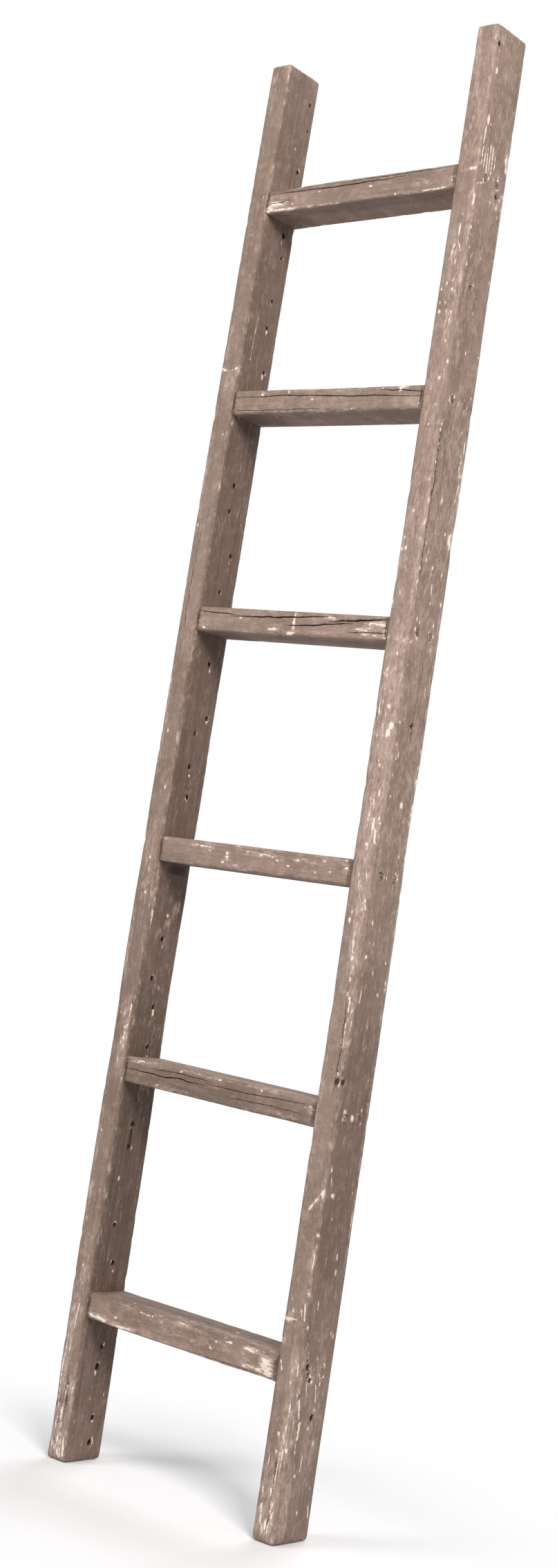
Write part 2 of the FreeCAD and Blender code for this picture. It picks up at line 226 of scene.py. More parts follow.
FLECKS = {
    "left_rail front": [
        (771, -12), (750, 1), (735, 2), (705, 2), (689, 13), (561, 10), (533, 4), (520, 4), (469, 12),
        (1588, -3), (1312, 6), (1190, -11), (1051, 9), (915, -4), (842, 7), (402, -8), (330, 5),
        (236, -3), (1640, 8)],
    "left_rail inner": [
        (1466, 9), (936, 16.5), (556, 2.4), (48, 7.3), (587, 7), (1405, 15), (1240, -6), (1002, 7),
        (640, 1), (500, 4), (231, 3), (107, 0), (16, 11), (1148, 10), (1590, 9), (862, 0), (1722, 5),
        (346, -12), (1340, -18)],
    "left_rail outer": [
        (1650, 12), (1490, -6), (1370, 20), (1080, -15), (820, 3), (600, -20), (400, 12), (210, -4),
        (90, 16)],
    "right_rail outer": [
        (1795, -22), (1782, -27), (1766, -23), (1699, -18), (1628, -16), (1634, -6), (1636, 4),
        (1638, 13), (1618, 5), (1616, 22), (1622, 28), (1604, 18), (1606, 4), (1593, 23), (1604, -30),
        (1595, -29), (1587, -28), (1579, -28), (1572, -27), (1564, -27), (1574, -14), (1548, -29),
        (1538, -24), (1516, -25), (1498, -13), (1496, -4), (1509, 27), (1539, 29), (1462, 2), (1410, 0),
        (1413, 27), (1352, -10), (1345, 14), (1360, 24), (1313, -27), (1306, -28), (1307, -10),
        (1314, 16), (1322, 27), (1288, -27), (1302, 18), (1285, 20), (1278, 23), (1265, -28),
        (1257, -27), (1220, -3), (1213, 4), (1185, 12), (1165, -22), (1145, -17), (1139, -3),
        (1134, -27), (1131, -3), (1100, 25), (1097, 2), (1073, -18), (1072, 16), (1070, -12), (1063, 9),
        (1061, -19), (1044, -24), (1016, -23), (953, -13), (947, -22), (920, -22), (908, -16),
        (903, -19), (899, 27), (884, -21), (859, 24), (858, -19), (851, 28), (844, -20), (844, 3),
        (832, 13), (824, -30), (803, 25), (790, 15), (790, 27), (781, 29), (780, 15), (769, 14),
        (762, -3), (707, -17), (701, -1), (684, -17), (684, -9), (663, 20), (646, -23), (640, 25),
        (632, 25), (625, 13), (592, 26), (498, 25), (490, 15), (420, -25), (365, -24), (364, -11),
        (303, 11), (242, -26), (234, 19), (230, 24), (227, -1), (206, 1), (194, -11), (193, 12),
        (180, -4), (177, 12), (148, 9), (128, 2), (110, 16), (76, -10), (60, 22), (34, 4)],
    "right_rail front": [
        (1579, 4), (1484, -11), (1491, -4), (1483, 5), (1480, 9), (1466, -10), (1466, -2), (1455, -9),
        (1455, 1), (1454, 8), (1417, 6), (1391, 14), (1380, 11), (1370, 6), (1336, 7), (1312, 0),
        (1238, 0), (1204, -3), (1171, -10), (1158, -6), (1144, -3), (1134, -3), (1048, -12), (1028, 5),
        (984, -6), (982, 3), (963, 4), (928, -8), (890, 8), (829, 15), (805, -1), (798, 1), (786, 5),
        (771, 2), (717, -5), (707, -7), (694, 6), (653, 9), (621, 6), (617, 10), (488, -12), (471, 11),
        (383, 4), (345, 15), (333, 15), (257, -4), (179, 7), (101, 2), (68, -9), (32, 0)],
    "right_rail back": [(1600, 4), (1300, -6), (1000, 8), (700, 2), (350, -8), (120, 5)],
    "rung_6 front": [(149, -6), (110, -4), (96, -3), (62, -14), (-64, 4), (20, 2), (-108, -8)],
    "rung_6 bottom": [(100, -28)],
    "rung_5 front": [(46, -13), (50, -12), (-104, 9), (-60, 12), (90, 13), (149, -8), (-20, 1)],
    "rung_4 front": [
        (8, 8), (8, 2), (6, -13), (-22, -8), (-30, -9), (66, 10), (126, 4), (150, -8), (140, 0),
        (112, -6), (-80, 3), (-140, -12), (88, 13)],
    "rung_3 front": [
        (-146, 13), (-92, 10), (-84, 9), (-76, 9), (-66, 8), (-40, 0), (-41, 4), (-46, -8), (-26, -10),
        (-22, -9), (-8, 9), (14, 7), (32, 6), (40, 3), (58, -2), (72, 6), (80, 8), (112, 9), (132, 12),
        (146, 4), (-70, 5), (100, -6), (122, -3)],
    "rung_2 front": [(-132, 12), (-60, 12), (4, 13), (70, 12), (120, -9), (146, 6), (-96, -11)],
    "rung_1 front": [
        (-120, -11), (-104, -4), (-64, 12), (-45, 11), (51, -2), (80, 11), (59, 7), (104, -9),
        (-30, 9)],
    "rung_1 top": [(-20, -10), (60, 4), (-90, -16)],
}

SCRATCHES = {
    "left_rail front": [
        (1.5, 1.1, 1402, -14, 1399, 0, 1403, 15), (1, 0.9, 560, 10, 520, 5, 505, 7),
        (1.3, 1, 150, -9, 96, -12, 60, -8), (1.6, 1, 90, 2, 40, -2), (2.2, 1.2, 45, 2, 24, 3, 6, 5),
        (1.8, 1.15, 30, 9, 8, 11), (1.6, 1.1, 20, -7, 8, -9), (1, 1, 189, 1, 160, -2)],
    "left_rail inner": [
        (5.5, 0.4, 697, 18, 676, 10, 656, -10), (3, 0.5, 660, -8, 652, -14),
        (4.2, 0.42, 589, 4, 586, 15), (0.7, 0.5, 702, 3, 690, -1), (1.5, 1.2, 682, -27, 660, -28),
        (0.8, 0.8, 1480, -12, 1420, -14)],
    "right_rail outer": [
        (2.2, 1.2, 1708, -24, 1697, -24), (1.2, 1.25, 1695, -26, 1672, -27),
        (1.3, 1.3, 1668, -26, 1646, -26), (1.2, 1.25, 1670, -21, 1644, -20),
        (1.2, 1.3, 1669, -16, 1638, -14), (1.2, 1.25, 1677, -11, 1642, -9),
        (1.3, 1.3, 1674, -5, 1640, -4), (1.1, 1.15, 1664, 1, 1648, 2), (2.4, 1.3, 1676, 24, 1655, 26),
        (1.1, 1.2, 1658, 12, 1657, 19), (1.3, 1.1, 1619, -30, 1625, -15),
        (1.3, 1.3, 1647, 11, 1642, 13), (0.9, 1.2, 1303, 25, 1290, 26), (1, 1.25, 1270, 21, 1259, 23),
        (1, 1.2, 1249, 25, 1227, 22), (0.8, 1.25, 1119, 1, 1104, 2.6), (0.9, 1.2, 1165, -22, 1160, -22),
        (1, 1.25, 995, 18, 984, 20), (0.9, 1.1, 792, -24, 791, -19), (1, 1.2, 652, -3, 645, -2),
        (1, 1.25, 628, -19, 614, -20), (1.2, 1.3, 410, -23, 402, -22), (1.1, 1.3, 323, 9, 317, 10),
        (1.1, 1.3, 270, -13, 262, -12), (1.1, 1.35, 224, -21, 207, -17), (1, 1.3, 180, -13, 164, -10),
        (1, 1.3, 176, 5, 157, 8), (1.7, 1.3, 160, -22, 140, -18), (1.8, 1.35, 134, -15, 117, -16),
        (1.4, 1.3, 113, -17, 101, -16), (1, 1.3, 97, -1, 80, -2), (1.3, 1.3, 39, 24, 27, 26),
        (1.8, 1.5, 187, -8, 183, -6), (1.6, 1.5, 189, 9, 186, 10), (1.3, 1.4, 200, 15, 196, 17)],
    "right_rail front": [
        (1.2, 1, 1637, -8, 1638, 14), (0.9, 1.12, 1566, 3, 1549, 3), (0.9, 1.05, 1545, 3, 1532, 9),
        (0.8, 1, 1531, 1, 1507, 5), (0.9, 1.1, 1541, -1, 1530, -4), (1.1, 1.15, 1496, 4, 1487, 4),
        (0.8, 1.05, 1440, 1, 1417, 5), (1.5, 1.35, 1096, -14, 1084, -13),
        (1.3, 1.25, 966, -10, 955, -9), (1, 1.1, 946, -1, 937, -2), (1.1, 1.25, 916, -2, 908, -2),
        (0.9, 1.05, 900, 0, 890, 4), (1, 1.1, 863, 9, 856, 9), (0.9, 1, 858, 1, 843, 4),
        (1, 1.15, 829, 7, 817, 8), (1.7, 1.25, 816, 11, 797, 13), (0.9, 1.1, 803, 8, 793, 9),
        (1.3, 1.15, 770, 6, 757, 9), (1.3, 1.3, 733, 12, 712, 15), (1.2, 1.25, 679, 4, 667, 4),
        (1, 1.25, 648, 6, 637, 7), (1.1, 1.25, 614, 11, 602, 11), (0.9, 1.1, 588, 10, 560, 11),
        (2.2, 0.85, 394, 13, 372, -3), (0.9, 1, 370, 15, 362, 15), (0.9, 1.1, 324, 15, 308, 15),
        (1.2, 1.25, 199, 15, 188, 15), (1.2, 1.05, 247, -15, 248, 2), (1.2, 1.35, 267, 12, 249, 14),
        (1, 1.2, 260, 8, 250, 10), (1, 1.2, 200, -11, 190, -8), (1.2, 1.2, 156, 12, 112, 11),
        (1, 1.3, 105, 11, 71, 10), (1, 1.3, 101, 7, 68, 6), (1.1, 1.2, 95, -7, 83, -7),
        (1.4, 1, 60, 2, 34, 6), (1.4, 1, 60, -10, 20, -6)],
    "rung_6 front": [
        (1.8, 1.2, -150, -14, -112, -15), (1.6, 1.1, -148, -8, -124, -6), (1, 1, -144, -3, -118, -3),
        (1.4, 1.1, 106, -14.5, 140, -14)],
    "rung_5 front": [(2.2, 1.2, 118, 10, 120, 15)],
    "rung_4 front": [
        (1.2, 1.1, 9, 14, 8, 0, 9, -14), (1.5, 1.1, 0, -14, 12, -12), (1.3, 1.1, 104, -2, 126, -4),
        (1.3, 1.1, 126, 6, 150, 4), (1.2, 1, 116, -9, 150, -9), (1.5, 1.1, 62, 11, 72, 9)],
    "rung_3 front": [
        (1, 1, -98, 10, -66, 9), (1, 0.9, -40, 6, -39, -6), (1.1, 1, 0, 9, 40, 7),
        (1.1, 1, 106, 10, 146, 13)],
    "rung_2 front": [(1, 0.9, -140, 13, -110, 14)],
    "rung_1 front": [
        (2.2, 1.25, -146, -10, -122, -12), (0.9, 1.05, -66, 12, -50, 11), (0.8, 1.1, 74, 10, 83, 12),
        (0.8, 1.1, 50, 0, 53, -3), (1.4, 1, 100, 10, 116, 11), (1.3, 0.98, 112, 12, 132, 12.4)],
}

SCUFFS = {
    "left_rail front": [
        (1386, 4, 16, 15, 0.45), (1435, -10, 30, 5, 0.5), (1245, -13, 60, 4, 0.6),
        (930, -13, 70, 4, 0.55), (750, 0, 70, 9, 0.42), (640, -12, 60, 5, 0.5), (525, 5, 50, 7, 0.62),
        (350, -12, 90, 5, 0.55), (220, 2, 60, 8, 0.4), (130, -8, 80, 8, 0.62), (34, -4, 38, 13, 0.85),
        (60, 12, 60, 4, 0.6), (1794, -9, 30, 5, 0.4), (90, 9, 12, 5, 0.8), (170, -2, 16, 3, 0.7)],
    "left_rail inner": [
        (556, 3, 5, 1.9, 1.7), (1466, 9, 4.4, 1.7, 1.6), (680, 2, 2.2, 2, 1.5), (54, 8, 3.4, 1.3, 1.5),
        (141, 7.6, 3, 1.1, 1.3), (26, 12, 3, 1.2, 1.1), (76, -3, 3, 1, 1.4), (80, 21, 3, 1, 1.3),
        (531, 20, 12, 5, 0.5), (700, -28, 40, 3, 0.7), (490, 8, 60, 12, 0.3)],
    "left_rail outer": [(1500, -20, 120, 8, 0.5), (700, 20, 160, 8, 0.5), (90, -14, 90, 12, 0.55)],
    "left_rail back": [(1200, 8, 160, 6, 0.45)],
    "right_rail outer": [
        (1660, -12, 24, 15, 0.55), (1700, -24, 14, 4, 0.5), (1663, 28, 14, 5, 0.9),
        (1610, 12, 14, 16, 0.4), (1768, -22, 3.4, 2.2, 1.5), (1500, 0, 220, 60, 0.2),
        (1000, 0, 330, 60, 0.31), (1200, 0, 150, 60, 0.39), (1740, 0, 90, 60, 0.3),
        (1584, -30, 52, 3, 0.55), (1600, 30, 30, 4, 0.7), (1294, 24, 60, 4, 0.6),
        (1236, 29, 50, 4, 0.9), (1221, -3, 9, 4, 0.9), (1180, 24, 11, 6.5, 1.15),
        (1342, 6, 10, 16, 0.5), (1450, -18, 90, 6, 0.4), (1128, -29, 40, 4, 0.6),
        (1000, 29, 120, 4, 0.6), (850, 5, 5, 4.5, 1.18), (941, 2, 3, 2.5, 0.9), (883, 28, 3.5, 3, 1.4),
        (667, -20, 3, 3, 1.3), (602, 26, 6, 3, 1.1), (487, -16, 3.5, 4, 1.2), (481, -1, 3.5, 4, 1.25),
        (391, -17, 3, 4, 1.15), (900, -29, 120, 4, 0.65), (850, 27, 60, 6, 0.75),
        (700, 29, 120, 4, 0.6), (620, -29, 90, 4, 0.5), (430, 29, 120, 4, 0.6), (188, -2, 14, 20, 0.55),
        (250, 8, 50, 14, 0.38), (118, 8, 60, 16, 0.5), (40, -20, 50, 10, 0.65), (150, -26, 90, 5, 0.6)],
    "right_rail front": [
        (40, 7, 14, 5, 0.95), (20, 3, 12, 9, 0.95), (121, 1, 2.6, 2, 1.3), (1722, 0, 90, 11, 0.36),
        (1790, -13, 50, 6, 0.6), (1525, -2, 40, 6, 0.6), (1470, 6, 60, 7, 0.55),
        (1300, 0, 150, 12, 0.34), (1140, -4, 80, 10, 0.42), (1150, -13, 40, 5, 0.7),
        (900, 0, 160, 22, 0.6), (960, 0, 110, 11, 0.72), (800, 2, 90, 12, 0.71), (690, 6, 60, 9, 0.76),
        (900, 13, 170, 4, 0.6), (941, 12, 5, 3.6, 1.12), (929, 7, 4, 3.5, 0.95), (907, 9, 4, 3, 0.85),
        (721, 8, 8, 3.8, 1.05), (527, 10, 5, 5, 0.8), (280, 14, 5, 2, 1.1), (222, -11, 5, 3, 0.9),
        (520, -12, 120, 5, 0.5), (392, 14, 8, 3, 1.15), (330, 12, 60, 4, 0.5), (150, 8, 90, 6, 0.6),
        (250, -8, 12, 8, 0.4), (50, -2, 50, 15, 0.66)],
    "right_rail inner": [(1500, 20, 160, 7, 0.5), (640, -18, 170, 8, 0.5)],
    "right_rail back": [(1100, -8, 220, 6, 0.5), (300, 8, 160, 6, 0.5)],
    "rung_6 front": [
        (-136, -7, 19, 6, 1.08), (-120, -14.5, 38, 3, 1.08), (-60, -15, 40, 2, 0.7),
        (122, -15, 24, 3, 0.85), (104, -2, 18, 6, 0.5), (149, -6, 4, 8, 0.6), (-120, 3, 22, 4, 0.45)],
    "rung_6 bottom": [(96, -31, 30, 3, 0.7)],
    "rung_6 top": [(0, 10, 90, 14, 0.45)],
    "rung_6 back": [(60, 6, 60, 7, 0.5)],
    "rung_5 front": [
        (122, 14.5, 9, 5, 1), (140, -6, 14, 6, 0.45), (-20, 15, 120, 2, 0.4), (-100, -14, 50, 3, 0.45)],
    "rung_5 top": [(120, -27, 9, 6, 1), (-40, 8, 100, 14, 0.4)],
    "rung_5 back": [(-60, -3, 70, 6, 0.5)],
    "rung_4 front": [
        (8, -2, 2.4, 13, 0.85), (5, -13, 8, 3, 0.9), (-22, -9, 9, 2, 0.85), (120, -3, 24, 5, 0.75),
        (140, 5, 14, 4, 0.85), (136, -10, 18, 4, 0.65), (66, 10, 9, 3, 0.85), (-142, -3, 10, 8, 0.45),
        (40, -10, 40, 3, 0.5), (150, -8, 3, 7, 0.9)],
    "rung_4 top": [(0, -20, 120, 6, 0.5)],
    "rung_4 back": [(90, 2, 50, 8, 0.5)],
    "rung_3 front": [
        (-100, 10, 20, 4, 0.45), (-40, 0, 5, 8, 0.6), (20, 8, 40, 4, 0.55), (76, 6, 30, 4, 0.5),
        (130, 11, 20, 4, 0.6), (146, 2, 7, 9, 0.55), (40, 15, 110, 2, 0.5), (-20, -10, 30, 4, 0.4)],
    "rung_3 top": [(0, -20, 140, 7, 0.6)],
    "rung_3 back": [(30, 3, 90, 7, 0.5)],
    "rung_2 front": [
        (-130, 13, 26, 4, 0.5), (30, 14, 90, 2.4, 0.45), (-70, -13, 50, 2.4, 0.4),
        (110, -10, 34, 3, 0.4), (145, 3, 7, 9, 0.45)],
    "rung_2 top": [(20, -16, 120, 10, 0.5), (-100, 8, 60, 12, 0.4)],
    "rung_2 back": [(-60, -3, 80, 7, 0.5)],
    "rung_1 front": [
        (-132, -10, 20, 5, 0.95), (-92, -12, 34, 3.4, 0.85), (116, 10.5, 17, 3.6, 1.08),
        (137, -1, 12, 11, 1.18), (122, -9, 26, 3.4, 0.95), (141, -9, 9, 5, 1.25), (84, 4, 34, 6, 0.42),
        (20, 2, 60, 6, 0.35), (-30, 13, 90, 3, 0.5), (30, -14, 90, 2.5, 0.45)],
    "rung_1 top": [(30, -16, 130, 12, 0.5)],
    "rung_1 back": [(60, 4, 80, 8, 0.5)],
}

# Darkening, most of it painted shade: shadow bands just under each rung on the left rail's inner face,
# that whole face and the lower outer face of the right rail shaded, rung undersides and tops darker,
# shade at rung ends; the small spots are dirt, and the rest only darken a face. Strengths above about
# 0.72 turn to the painted shadow colour.
DIRT_AND_SHADE = {
    "left_rail inner": [
        (900, 0, 960, 60, 0.6), (380, 0, 360, 60, 0.76), (456, 6, 11, 26, 0.7), (739, 6, 11, 26, 0.9),
        (1037, 6, 9, 26, 0.7), (1327, 6, 9, 26, 0.7), (1608, 6, 8, 26, 0.6), (1780, 6, 60, 30, 0.2),
        (360, 20, 120, 10, 0.4)],
    "left_rail front": [
        (1560, 0, 330, 30, 0.14), (430, 0, 90, 12, 0.2), (620, 0, 130, 30, 0.3),
        (900, 0, 150, 30, 0.15), (90, 0, 80, 30, 0.1)],
    "left_rail outer": [(300, 0, 300, 40, 0.3)],
    "right_rail outer": [
        (420, 0, 210, 60, 0.42), (1330, -16, 200, 10, 0.2), (164, -24, 6, 2.4, 0.9),
        (520, -28, 7, 5, 1), (60, 20, 60, 12, 0.25)],
    "right_rail front": [(520, 11, 7, 5, 1)],
    "right_rail inner": [(300, 0, 300, 50, 0.3)],
    "rung_6 front": [(-120, 13, 50, 4, 0.5), (30, 0, 110, 20, 0.12)],
    "rung_6 bottom": [(0, -18, 170, 13, 0.34), (-130, 0, 26, 34, 0.45)],
    "rung_5 front": [(0, -14, 160, 3, 0.3)],
    "rung_5 bottom": [(0, -14, 170, 14, 0.2), (-120, 0, 36, 34, 0.6)],
    "rung_4 bottom": [(0, -8, 170, 20, 0.32), (-120, 0, 36, 34, 0.6)],
    "rung_3 front": [(-130, -8, 30, 6, 0.3)],
    "rung_3 bottom": [(0, 0, 170, 20, 0.5)],
    "rung_2 front": [(0, -2, 170, 17, 0.45)],
    "rung_2 bottom": [(0, 0, 170, 24, 0.3)],
    "rung_2 top": [(0, 0, 170, 40, 0.25)],
    "rung_1 front": [(-20, 2, 90, 8, 0.2)],
    "rung_1 bottom": [(0, 0, 170, 24, 0.3)],
    "rung_1 top": [(0, 0, 170, 40, 0.5)],
}

DIPS = {
    "left_rail front inner": [(915, 2000, 0.5), (712, 26, 2), (648, 30, 1.4), (1010, 60, 1)],
    "left_rail front outer": [(520, 50, 1), (60, 40, 1.4)],
    "left_rail back inner": [(600, 90, 1.2)],
    "left_rail back outer": [(1300, 200, 1.2)],
    "right_rail front outer": [
        (915, 2000, 1.2), (520, 8, 3.4), (900, 190, 1.2), (386, 12, 2.2), (330, 40, 1.2),
        (1600, 60, 0.8), (90, 70, 1.2)],
    "right_rail back outer": [(1180, 20, 1.1), (830, 60, 1.2)],
    "right_rail back inner": [(1000, 300, 1)],
    "rung_6 bottom front": [(-125, 30, 1)],
    "rung_6 top front": [(-120, 30, 0.8)],
    "rung_5 top front": [(60, 90, 0.6)],
    "rung_5 bottom front": [(-60, 60, 0.6)],
    "rung_4 bottom front": [(110, 40, 0.9)],
    "rung_4 top front": [(30, 80, 0.5)],
    "rung_3 top front": [(-100, 60, 0.7)],
    "rung_3 bottom front": [(60, 70, 0.6)],
    "rung_2 top front": [(-60, 60, 0.7)],
    "rung_2 bottom front": [(110, 40, 0.6)],
    "rung_1 bottom front": [(-140, 16, 1.2), (120, 30, 1)],
}
JOINT_SHADE = ((-151, 0, 2.4, 17, 0.9), (151, 0, 2, 17, 0.95))     # painted shade on each rung's front where it meets the rails


def marked(kind, board):
    """The faces or corners of a board that have marks of one kind, each with its list."""
    places = [(place.split(" ", 1), rows) for place, rows in kind.items()]
    return [(face, rows) for (node, face), rows in places if node == board.node]


# ---------------------------------------------------------------- shaping a board

CORNER_BEVEL = 2.6 * MM
LONG_STEP = {ALONG_RAIL: 4.0 * MM, ALONG_RUNG: 2.6 * MM}      # mesh along a board
CROSS_STEP = {ALONG_RAIL: 2.1 * MM, ALONG_RUNG: 1.3 * MM}     # and across it
FLECK_ROOM = 6.0 * MM              # how far around each kind of mark the mesh is cut finer
LINE_ROOM = 3.4 * MM
HOLE_ROOM, HOLE_CORE = 8.0 * MM, 6.0 * MM
SMALL_SCUFF = 6                    # half length in mm below which a scuff needs a finer mesh
PIT_SPREAD, PIT_LIP = 1.18, 0.14   # pits have opened a little; how bare their lips are
RECESS = (3.9 * MM, 2.0 * MM, 0.45)     # radius, depth and bareness of the lip around a nail's head
EDGE_ZONE = 12 * MM                # wear of a corner or an end ends this far in
WAVE, RIDGE = 0.30, 0.10           # relief of the face and of the grain, in mm
DIAGONAL = 0.7071
RING_SPACING = 4.4 * MM
PITHS = {                  # a point on the log's pith and the way it runs, about the board's middle
    "left_rail": ((-0.055, 0.030, 0), (0.010, 0.006, 1)),
    "right_rail": ((0.048, 0.052, 0), (-0.008, 0.012, 1)),
    "rung_1": ((0, 0.050, -0.036), (1, 0.020, 0.010)),
    "rung_2": ((0, 0.044, 0.040), (1, -0.025, 0.016)),
    "rung_3": ((0, -0.060, 0.028), (1, 0.012, -0.020)),
    "rung_4": ((0, 0.056, -0.022), (1, 0.030, 0.042)),
    "rung_5": ((0, 0.040, 0.046), (1, 0.008, -0.014)),
    "rung_6": ((0, 0.062, 0.030), (1, -0.030, 0.022)),
}


def split_edges(bm, axis, spacing):
    """Cuts the long edges that run along one axis into even lengths."""
    chosen = []
    for edge in bm.edges:
        run = edge.verts[1].co - edge.verts[0].co
        if run.length > 8 * MM and abs(run[axis]) > 0.99 * run.length:
            chosen.append(edge)
    cuts = round(max(edge.calc_length() for edge in chosen) / spacing) - 1
    bmesh.ops.subdivide_edges(bm, edges=chosen, cuts=cuts, use_grid_fill=True)


def vertex_tree(bm):
    """Finds the vertices near a point; good for as long as none of them moves."""
    bm.verts.ensure_lookup_table()
    tree = kdtree.KDTree(len(bm.verts))
    for vert in bm.verts:
        tree.insert(vert.co, vert.index)
    tree.balance()
    return tree


def refine(bm, spots, reach, cuts):
    """Cuts the mesh finer wherever it lies within reach of one of the spots."""
    tree = vertex_tree(bm)
    near = {index for spot in spots for _, index, _ in tree.find_range(spot, reach)}
    chosen = [edge for edge in bm.edges
              if edge.verts[0].index in near and edge.verts[1].index in near]
    bmesh.ops.subdivide_edges(bm, edges=chosen, cuts=cuts, use_grid_fill=True)
    bm.verts.index_update()


def new_block(board):
    """The board as sawn: a block with worn corners, cut into a fine even mesh."""
    bm = bmesh.new()
    bmesh.ops.create_cube(bm, size=1.0)
    bmesh.ops.scale(bm, vec=board.size, verts=bm.verts)
    rounded = [edge for edge in bm.edges if board.along == ALONG_RAIL
               or abs(edge.verts[0].co.x - edge.verts[1].co.x) > 0.5 * board.length]
    bmesh.ops.bevel(bm, geom=rounded, offset=CORNER_BEVEL, segments=3, profile=0.5,
                    affect="EDGES", material=-1, clamp_overlap=True)
    split_edges(bm, board.along, LONG_STEP[board.along])
    for axis in (1, board.across):
        split_edges(bm, axis, CROSS_STEP[board.along])
    return bm


def nail_spots(board):
    """Where nails sit in the outer face of a rail, from the solid nails themselves."""
    if board.along == ALONG_RUNG:
        return []
    side = board.node.split("_")[0]
    spots = []
    for number in RUNG_NUMBERS:
        low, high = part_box(f"nails_rung_{number}_{side}")
        height, spread = (low.z + high.z) / 2, (high.y - low.y - HEAD_DIAMETER) / 2
        spots += [board.at("outer", height / MM, sign * spread / MM) for sign in (-1, 1)]
    return spots


def off_line(gap, run):
    """The part of a gap from the start of a line that leads away from the line's nearest point."""
    return gap - run * min(max(gap.dot(run) / run.length_squared, 0), 1)


def grain_drift(board, point):
    """How far the growth rings wander from straight at a point, in metres."""
    slow = Vector(point)
    slow[board.along] *= 0.22
    return (noise.noise(slow * 26 + board.seed) * 5 + noise.noise(slow * 80 + board.seed) * 1.1) * MM


def ring_height(board, point, wander):
    """Height of the weathered grain, 0 in the soft early wood to 1 on a hard ring."""
    pith, lean = PITHS[board.node]
    gap = point - Vector(pith)
    share = (gap.cross(Vector(lean).normalized()).length + wander) / RING_SPACING
    share -= math.floor(share)
    return ease(share, 0.35, 0.85) * (1 - ease(share, 0.93, 1.0))


def end_wear(board, point, end, rim):
    """How far a vertex near a rail's end moves where the edge of the end has rounded over."""
    amount = 1.1 + 1.6 * max(noise.noise(point * 40 + board.seed), 0)
    amount *= math.exp(-((end + rim) / (4.2 * MM)) ** 2) * MM
    inward = Vector((0, 0, -math.copysign(0.7, point.z)))
    across = 1 if board.half.y - abs(point.y) < board.half.x - abs(point.x) else 0
    inward[across] = -math.copysign(0.7, point[across])
    return inward * amount


